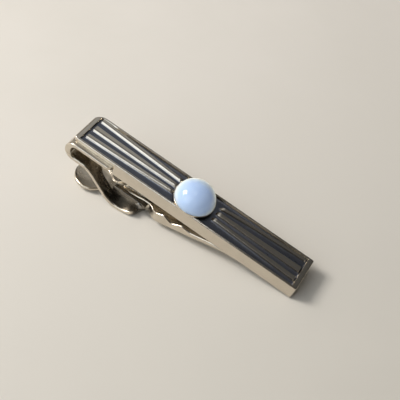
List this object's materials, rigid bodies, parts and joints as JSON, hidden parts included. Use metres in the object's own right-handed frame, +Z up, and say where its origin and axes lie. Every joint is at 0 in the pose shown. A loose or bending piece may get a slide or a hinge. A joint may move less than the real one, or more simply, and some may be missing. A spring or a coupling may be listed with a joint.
{
  "type": "tie clip",
  "caption": "Tie clip with a ribbed metal bar, a domed pale blue stone in its middle, and a sprung toothed alligator jaw with a thumb tab on its back.",
  "frame": {"origin": "on the table, under the middle of the object's box, with the clip lying on the belly of its strap and on the right-hand end of its bar", "axes": "+X towards the bar's low right-hand end, +Y across the bar, +Z up; the bar is pitched down by 10.65 degrees towards +X"},
  "size_m": [0.0506, 0.0092, 0.0125],
  "materials": {
    "plated_metal": "polished plating, dark in its grooves",
    "clip_metal": "tumbled plating, a little duller than the bar",
    "stone": "polished milky blue stone",
    "cement": "matt",
    "spring_steel": "drawn wire"
  },
  "bodies": {
    "bar": {"bar_shell": "plated_metal", "bezel_cup": "plated_metal", "cabochon": "stone", "cement_bed": "cement", "clip_strap": "clip_metal", "hinge_pin": "spring_steel", "torsion_spring": "spring_steel"},
    "lever": {"jaw_lever": "clip_metal"}
  },
  "joints": [
    {"name": "jaw_hinge", "type": "hinge", "parent": "bar", "child": "lever", "pos_m": [-0.00886, -0.00052, 0.00242], "axis": [0, 1, 0], "range_deg": [0, 9], "stiffness_Nm_per_rad": 0.02, "springref_deg": -20.05, "deforming": ["torsion_spring"]}
  ]
}
